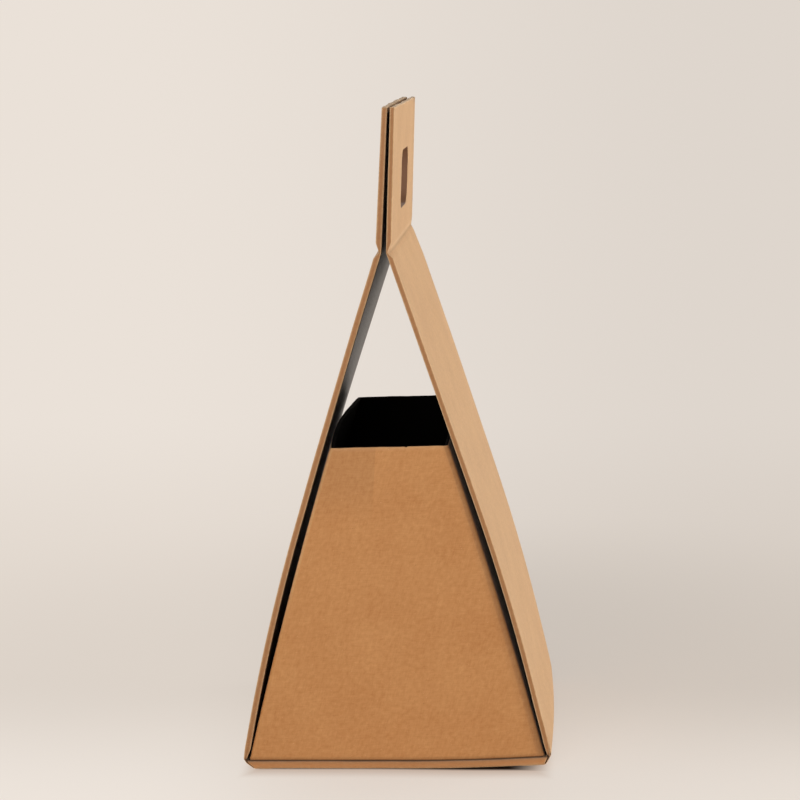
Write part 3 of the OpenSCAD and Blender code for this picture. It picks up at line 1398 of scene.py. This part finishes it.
class Number:
    """A number that a node gives, so that shader sums can be written as expressions."""

    def __init__(self, nodes: "Nodes", socket: bpy.types.NodeSocket) -> None:
        """Keeps the socket and the nodes that new ones are added to."""
        self.nodes = nodes
        self.socket = socket

    def _sum(self, operation: str, *values: "Number | float") -> "Number":
        """Adds a Math node.

        Args:
            operation: What the node works out.
            values: The numbers that it works on.

        Returns:
            The number that it gives.
        """
        node = self.nodes.add("ShaderNodeMath", {"operation": operation},
                              dict(enumerate(values)))
        return Number(self.nodes, node.outputs[0])

    def __add__(self, other: "Number | float") -> "Number":
        """Sum."""
        return self._sum("ADD", self, other)

    __radd__ = __add__

    def __sub__(self, other: "Number | float") -> "Number":
        """Difference."""
        return self._sum("SUBTRACT", self, other)

    def __rsub__(self, other: "Number | float") -> "Number":
        """Difference from a plain number."""
        return self._sum("SUBTRACT", other, self)

    def __mul__(self, other: "Number | float") -> "Number":
        """Product."""
        return self._sum("MULTIPLY", self, other)

    __rmul__ = __mul__

    def __truediv__(self, other: "Number | float") -> "Number":
        """Quotient."""
        return self._sum("DIVIDE", self, other)

    def __pow__(self, other: "Number | float") -> "Number":
        """Power."""
        return self._sum("POWER", self, other)

    def step(self, low: float, high: float) -> "Number":
        """Eased step.

        Args:
            low: Value at which the step starts.
            high: Value at which it ends.

        Returns:
            Number from 0 at low to 1 at high.
        """
        node = self.nodes.add("ShaderNodeMapRange", {"interpolation_type": "SMOOTHSTEP"},
                              {"Value": self, "From Min": low, "From Max": high})
        return Number(self.nodes, node.outputs["Result"])

    def size(self) -> "Number":
        """The number without its sign."""
        return self._sum("ABSOLUTE", self)

    def most(self, other: "Number | float") -> "Number":
        """The larger of two numbers."""
        return self._sum("MAXIMUM", self, other)

    def clamped(self) -> "Number":
        """The number kept from 0 to 1."""
        node = self.nodes.add("ShaderNodeClamp", {}, {"Value": self, "Min": 0.0, "Max": 1.0})
        return Number(self.nodes, node.outputs[0])


class Nodes:
    """Node tree of one material or world."""

    def __init__(self, tree: bpy.types.NodeTree) -> None:
        """Empties the tree."""
        self.tree = tree
        tree.nodes.clear()

    def add(self, kind: str, settings: dict[str, object],
            inputs: dict[str | int, object]) -> bpy.types.Node:
        """Adds a node.

        Args:
            kind: The node's type.
            settings: Properties, set first.
            inputs: Values, numbers or sockets for its inputs, by name or place.

        Returns:
            The node.
        """
        node = self.tree.nodes.new(kind)
        for key, value in settings.items():
            setattr(node, key, value)
        for key, value in inputs.items():
            socket = node.inputs[key]
            if isinstance(value, Number):
                value = value.socket
            if isinstance(value, bpy.types.NodeSocket):
                self.tree.links.new(value, socket)
            elif isinstance(value, tuple) and socket.type == "RGBA":
                socket.default_value = (*value, 1.0)
            else:
                socket.default_value = value
        return node

    def attribute(self, name: str) -> Number:
        """Number that a mesh attribute holds."""
        node = self.add("ShaderNodeAttribute", {"attribute_name": name}, {})
        return Number(self, node.outputs["Fac"])

    def place(self, name: str, scale: Triple = (1.0, 1.0, 1.0)) -> bpy.types.NodeSocket:
        """Place that a mesh attribute holds.

        Args:
            name: Name of the attribute.
            scale: Stretch along each axis.

        Returns:
            The stretched place.
        """
        node = self.add("ShaderNodeAttribute", {"attribute_name": name}, {})
        mapped = self.add("ShaderNodeVectorMath", {"operation": "MULTIPLY"},
                          {0: node.outputs["Vector"], 1: scale})
        return mapped.outputs[0]

    def noise(self, place: bpy.types.NodeSocket, scale: float, detail: float = 3.0,
              rough: float = 0.55) -> Number:
        """Cloudy noise.

        Args:
            place: Place on the paper.
            scale: Clouds to a millimetre.
            detail: How many finer layers it has.
            rough: How strong the finer layers are.

        Returns:
            Noise from 0 to 1.
        """
        node = self.add("ShaderNodeTexNoise", {"noise_dimensions": "3D"},
                        {"Vector": place, "Scale": scale, "Detail": detail, "Roughness": rough})
        return Number(self, node.outputs[0])

    def mix(self, factor: Number | float, first: object, second: object) -> bpy.types.NodeSocket:
        """Colour between two colours."""
        node = self.add("ShaderNodeMix", {"data_type": "RGBA"}, {0: factor, 6: first, 7: second})
        return node.outputs[2]

    def bump(self, height: Number, strength: float, distance: float) -> bpy.types.NodeSocket:
        """Normal of a surface with a height.

        Args:
            height: Height of the surface.
            strength: Share of the bump that shows.
            distance: Height in metres that 1 stands for.

        Returns:
            The normal.
        """
        node = self.add("ShaderNodeBump", {}, {"Strength": strength, "Distance": distance,
                                               "Height": height})
        return node.outputs[0]

    def shown(self) -> Number:
        """Whether a background is seen directly or mirrored.

        Returns:
            1 there, and 0 where it lights the object.
        """
        path = self.add("ShaderNodeLightPath", {}, {})
        kinds = ("Is Camera Ray", "Is Glossy Ray", "Is Transmission Ray")
        camera, glossy, through = (Number(self, path.outputs[kind]) for kind in kinds)
        return (camera + glossy + through).clamped()

    def output(self, kind: str, shader: bpy.types.NodeSocket) -> None:
        """Joins a shader to the tree's output."""
        self.add(kind, {}, {"Surface": shader})


def new_material(name: str) -> tuple[bpy.types.Material, Nodes]:
    """Makes an empty material.

    Args:
        name: Name of the material.

    Returns:
        The material and its nodes.
    """
    material = bpy.data.materials.new(name)
    material.use_nodes = True
    return material, Nodes(material.node_tree)


@dataclass(frozen=True)
class Kraft:
    """Matt brown paper with short fibres, cloudy tone, specks, lighter worn folds and painted
    shade.
    """

    name: str
    light: Colour
    dark: Colour
    worn: Colour
    rim: Colour
    # Raw greyboard at the hand slot's cut wall, darkened so that it also paints the shade inside
    # the slot.
    core: Colour = colour(130, 93, 68)
    # Colour of the painted shade in crevices, creases, folds and shaded corners.
    crevice_shade: Colour = colour(66, 32, 12)
    roughness: float = 0.62
    ior: float = 1.45
    shine: float = 0.42
    sheen: float = 0.12
    sheen_roughness: float = 0.4
    grain: float = 0.22
    grain_height: float = 0.0003
    wear: float = 0.75
    mottle: float = 1.5
    cloud: float = 0.9
    fibres: float = 0.8
    specks: float = 0.45
    rim_share: float = 0.85
    dot_share: float = 0.35
    fibre_share: float = 0.4
    dot_depth: float = 0.55

    def make(self) -> bpy.types.Material:
        """Makes the material.

        Returns:
            The material.
        """
        material, nodes = new_material(self.name)
        even = nodes.place("sheet")
        cloud = nodes.noise(even, 0.035, 3.0)
        mottle = nodes.noise(even, 0.42, 4.0, 0.6)
        upright = nodes.noise(nodes.place("sheet", (0.16, 1.5, 1.0)), 1.0, 3.0, 0.6)
        level = nodes.noise(nodes.place("sheet", (1.5, 0.16, 1.0)), 1.0, 3.0, 0.6)
        fine = nodes.noise(even, 2.2, 2.0, 0.7)
        tone = (0.5 + self.mottle * (mottle - 0.5) + self.cloud * (cloud - 0.5)
                + self.fibres * (upright - 0.5) + self.fibres * (level - 0.5)
                + self.specks * (fine - 0.5)).clamped()
        paper = nodes.mix(tone, self.dark, self.light)
        dots = nodes.noise(even, 1.3, 1.0, 0.4)
        dark_dots = dots.step(0.72, 0.78) * self.dot_share
        paper = nodes.mix(dark_dots, paper, tuple(c * self.dot_depth for c in self.dark))
        light_dots = (1.0 - dots).step(0.73, 0.79) * self.fibre_share
        paper = nodes.mix(light_dots, paper, self.worn)
        paper = nodes.mix(nodes.attribute("rim") * self.rim_share, paper, self.rim)
        # Fold wear lightens the paper; on the tray's left fold it is also a painted highlight.
        wear_and_highlight = (nodes.attribute("fold") * self.wear * (0.45 + 1.1 * (mottle - 0.2))).clamped()
        paper = nodes.mix(wear_and_highlight, paper, self.worn)
        paper = nodes.mix(nodes.attribute("core"), paper, self.core)
        # Painted shade: darkens the paper by the mesh's share of painted shade.
        paper = nodes.mix(nodes.attribute("painted_shade"), paper, self.crevice_shade)
        height = 0.5 * mottle + 0.5 * upright + 0.5 * level + 0.35 * fine
        rough = self.roughness + 0.16 * (mottle - 0.5)
        shader = nodes.add("ShaderNodeBsdfPrincipled", {}, {
            "Base Color": paper, "Roughness": rough, "IOR": self.ior,
            "Specular IOR Level": self.shine, "Sheen Weight": self.sheen,
            "Sheen Roughness": self.sheen_roughness,
            "Normal": nodes.bump(height, self.grain, self.grain_height)})
        nodes.output("ShaderNodeOutputMaterial", shader.outputs[0])
        return material


@dataclass(frozen=True)
class Lining:
    """Black lining paper with a faint sheen and a fine tooth."""

    name: str = "black_lining_paper"
    # Dark brown tints: partly the paper's own colour, partly a painted warm reflection of the
    # kraft.
    deep: Colour = (0.010, 0.006, 0.0033)
    worn: Colour = (0.038, 0.024, 0.014)
    roughness: float = 0.42
    shine: float = 0.75
    tint: Colour = (1.0, 0.82, 0.64)
    tooth: float = 0.25
    tooth_height: float = 0.0002

    def make(self) -> bpy.types.Material:
        """Makes the material.

        Returns:
            The material.
        """
        material, nodes = new_material(self.name)
        even = nodes.place("sheet")
        mottle = nodes.noise(even, 0.6, 4.0, 0.6)
        fine = nodes.noise(even, 2.6, 2.0, 0.6)
        tone = (0.3 + 1.2 * (mottle - 0.5) + 0.8 * (fine - 0.5)
                + 0.5 * nodes.attribute("fold")).clamped()
        paper = nodes.mix(tone, self.deep, self.worn)
        rough = self.roughness + 0.45 * (mottle - 0.5)
        shader = nodes.add("ShaderNodeBsdfPrincipled", {}, {
            "Base Color": paper, "Roughness": rough, "Specular IOR Level": self.shine,
            "Specular Tint": self.tint,
            "Normal": nodes.bump(fine + 0.6 * mottle, self.tooth, self.tooth_height)})
        nodes.output("ShaderNodeOutputMaterial", shader.outputs[0])
        return material


def dress(pieces: list[bpy.types.Object], material: bpy.types.Material) -> None:
    """Gives pieces their material, and reports them.

    Args:
        pieces: Pieces to dress.
        material: Their material.
    """
    for piece in pieces:
        piece.data.materials.clear()
        piece.data.materials.append(material)
        LOG.info("%s: %d faces, %s", piece.name, len(piece.data.polygons), material.name)


# Stage


@dataclass(frozen=True)
class Lamp:
    """Soft square lamp aimed at the box, with its place and width in metres and power in watts."""

    name: str
    place: Triple
    size: float
    power: float
    tint: Colour
    target: Triple = (0.0, 0.0, 0.12)

    def build(self) -> None:
        """Hangs the lamp."""
        data = bpy.data.lights.new(self.name, "AREA")
        data.shape, data.size = "SQUARE", self.size
        data.energy, data.color = self.power, self.tint
        lamp = put(self.name, data)
        lamp.location = self.place
        aim = Vector(self.target) - Vector(self.place)
        lamp.rotation_euler = aim.to_track_quat("-Z", "Y").to_euler()


@dataclass(frozen=True)
class Studio:
    """Pale floor that runs into the background, with painted shadow under and round the box, soft
    lamps and the camera.

    The spans are the places, in metres or as slopes, between which one tone gives way to another.
    """

    near: Colour = colour(242, 233, 224)
    # Painted shadow on the floor under the box.
    under: Colour = colour(56, 40, 30)
    # Painted contact shadow and warm light thrown back from the kraft, on the floor round the box.
    shadow_and_bounce: Colour = colour(208, 190, 176)
    dip: Colour = colour(225, 215, 205)
    far: Colour = colour(234, 225, 216)
    dim: float = 0.11
    sky: float = 0.28
    sky_tint: Colour = (1.0, 0.98, 0.95)
    reach: float = 30.0
    dip_span: Span = (-0.13, 0.09)
    far_span: Span = (0.12, 1.0)
    behind_span: Span = (-0.25, 0.15)
    fall_span: Span = (-0.2, 0.08)
    right_span: Span = (0.054, 0.078)
    left_span: Span = (0.064, 0.071)
    depth_span: Span = (0.0757, 0.0797)
    soft_width_span: Span = (0.066, 0.078)
    soft_depth_span: Span = (0.0775, 0.093)
    lit_span: Span = (0.0, 0.13)
    clear_span: Span = (0.16, 0.5)
    shadow_skew: float = 0.0018
    skew_span: Span = (-0.02, 0.045)
    middle_y: float = 0.05
    camera_x: float = 0.084
    camera_y: float = 1.17
    lit_share: float = 0.68
    lit_more: float = 0.2
    lamps: tuple[Lamp, ...] = (
        Lamp("key", (1.8, 0.45, 0.3), 1.1, 29.5, (1.0, 0.98, 0.95)),
        Lamp("fill", (-0.5, -2.2, 0.55), 1.3, 29.0, (1.0, 0.97, 0.93)))

    def floor(self) -> bpy.types.Object:
        """Makes the floor, which runs into the pale background.

        Returns:
            The floor.
        """
        mesh = bpy.data.meshes.new("floor")
        r = self.reach
        mesh.from_pydata([(-r, -r, 0), (r, -r, 0), (r, r, 0), (-r, r, 0)], [], [(0, 1, 2, 3)])
        plane = put("floor", mesh)
        material, nodes = new_material("pale_floor")
        place = nodes.add("ShaderNodeTexCoord", {}, {}).outputs["Object"]
        split = nodes.add("ShaderNodeSeparateXYZ", {}, {0: place})
        x, y = (Number(nodes, split.outputs[k]) for k in (0, 1))
        back = y - self.middle_y
        distance = (x * x + back * back) ** 0.5
        middle = nodes.mix(y.step(*self.dip_span), self.near, self.dip)
        tone = nodes.mix(y.step(*self.far_span), middle, self.far)
        tone = self.dimmed(nodes, (x - self.camera_x) / (y.size() + self.camera_y), tone,
                           (y / (distance + 0.3)).step(*self.behind_span))
        deep = y.size() - self.shadow_skew * x.step(*self.skew_span)
        left = 0.0 - x
        aside = x.step(*self.right_span).most(left.step(*self.left_span))
        beyond = aside.most(deep.step(*self.depth_span))
        # Painted contact shadow: close round the box the floor's tone turns to the warm shadow
        # colour.
        soft = x.size().step(*self.soft_width_span).most(deep.step(*self.soft_depth_span))
        tone = nodes.mix(soft, self.shadow_and_bounce, tone)
        share = self.lit_share + self.lit_more * left.step(*self.lit_span)
        factor = (beyond * (share + (1.0 - share) * distance.step(*self.clear_span))
                  * nodes.shown())
        # Painted shadow: under the box the floor's own colour is dark.
        shade = nodes.add("ShaderNodeBsdfPrincipled", {}, {
            "Base Color": nodes.mix(beyond, self.under, self.near), "Roughness": 0.5,
            "Specular IOR Level": 0.2})
        glow = nodes.add("ShaderNodeEmission", {}, {"Color": tone, "Strength": 1.0})
        mixed = nodes.add("ShaderNodeMixShader", {}, {0: factor, 1: shade.outputs[0],
                                                     2: glow.outputs[0]})
        nodes.output("ShaderNodeOutputMaterial", mixed.outputs[0])
        mesh.materials.append(material)
        return plane

    def dimmed(self, nodes: Nodes, aside: Number, tone: object,
               share: Number) -> bpy.types.NodeSocket:
        """Background tone that falls off to the right.

        Args:
            nodes: Tree to work in.
            aside: How far to the right a place lies.
            tone: Colour before it is dimmed.
            share: How much of the fall-off shows there.

        Returns:
            The dimmed colour.
        """
        return nodes.mix(aside.step(*self.fall_span) * self.dim * share, tone, (0.0, 0.0, 0.0))

    def world(self) -> None:
        """Makes the even light from all round, and the background that is seen behind it."""
        world = bpy.data.worlds.new("studio")
        world.use_nodes = True
        bpy.context.scene.world = world
        nodes = Nodes(world.node_tree)
        direction = nodes.add("ShaderNodeTexCoord", {}, {}).outputs["Generated"]
        split = nodes.add("ShaderNodeSeparateXYZ", {}, {0: direction})
        x, y = (Number(nodes, split.outputs[k]) for k in (0, 1))
        tone = self.dimmed(nodes, x, self.far, y.step(*self.behind_span))
        around = nodes.add("ShaderNodeBackground", {}, {"Color": self.sky_tint,
                                                       "Strength": self.sky})
        behind = nodes.add("ShaderNodeBackground", {}, {"Color": tone, "Strength": 1.0})
        mixed = nodes.add("ShaderNodeMixShader", {}, {0: nodes.shown(), 1: around.outputs[0],
                                                     2: behind.outputs[0]})
        nodes.output("ShaderNodeOutputWorld", mixed.outputs[0])

    def build(self) -> None:
        """Makes the floor, the light and the camera."""
        self.floor()
        self.world()
        for lamp in self.lamps:
            lamp.build()
        Camera().build()


@dataclass(frozen=True)
class Camera:
    """Camera of the photograph, from its measured place and turns."""

    place: Triple = (0.0838, -1.1668, 0.35835)
    pitch: float = math.radians(9.135)
    yaw: float = math.radians(-4.098)
    roll: float = math.radians(-1.288)
    lens: float = 104.46
    sensor: float = 36.0

    def build(self) -> bpy.types.Object:
        """Makes the scene's camera.

        Returns:
            The camera.
        """
        ahead = Vector((math.sin(self.yaw) * math.cos(self.pitch),
                        math.cos(self.yaw) * math.cos(self.pitch), -math.sin(self.pitch)))
        level = Vector((math.cos(self.yaw), -math.sin(self.yaw), 0.0))
        upright = level.cross(ahead)
        right = level * math.cos(self.roll) + upright * math.sin(self.roll)
        up = upright * math.cos(self.roll) - level * math.sin(self.roll)
        data = bpy.data.cameras.new("photo_camera")
        data.lens, data.sensor_width, data.sensor_fit = self.lens, self.sensor, "HORIZONTAL"
        data.clip_start, data.clip_end = 0.05, 100.0
        camera = put("photo_camera", data)
        turn = Matrix((right, up, -ahead)).transposed().to_4x4()
        camera.matrix_world = Matrix.Translation(self.place) @ turn
        bpy.context.scene.camera = camera
        return camera


def main() -> None:
    """Builds the box piece by piece, then the stage."""
    logging.basicConfig(level=logging.INFO, format="%(message)s")
    bpy.context.scene.view_settings.view_transform = "Standard"
    cover = Kraft("cover_kraft_paper", light=colour(215, 172, 121), dark=colour(191, 145, 96),
                  worn=colour(234, 202, 160), rim=colour(141, 82, 27)).make()
    card = Kraft("tray_kraft_card", light=colour(202, 146, 90), dark=colour(181, 121, 66),
                 worn=colour(228, 186, 138), rim=colour(180, 124, 74), core=colour(14, 11, 9),
                 wear=0.6).make()
    black = Lining().make()
    # Darker, duller copy of the lining paper, which paints the shade inside the tray.
    deep = Lining("shaded_tray_lining_paper", deep=(0.0015, 0.0012, 0.001),
                  worn=(0.004, 0.0035, 0.003), roughness=0.85, shine=0.04).make()
    board = Kraft("base_kraft_paper", light=colour(214, 172, 122), dark=colour(190, 145, 97),
                  worn=colour(232, 200, 158), rim=colour(178, 113, 56)).make()
    base = BasePanel()
    dress([base.build()], board)
    for side in Side:
        flap = CoverFlap(side)
        wall, lining = flap.build()
        paper, fold_lining = HingePaper(flap, base).build()
        dress([wall, paper], cover)
        dress([lining, fold_lining], black)
    tray, tray_lining = Tray(base).build()
    dress([tray], card)
    dress([tray_lining], deep)
    Studio().build()


if __name__ == "__main__":
    main()
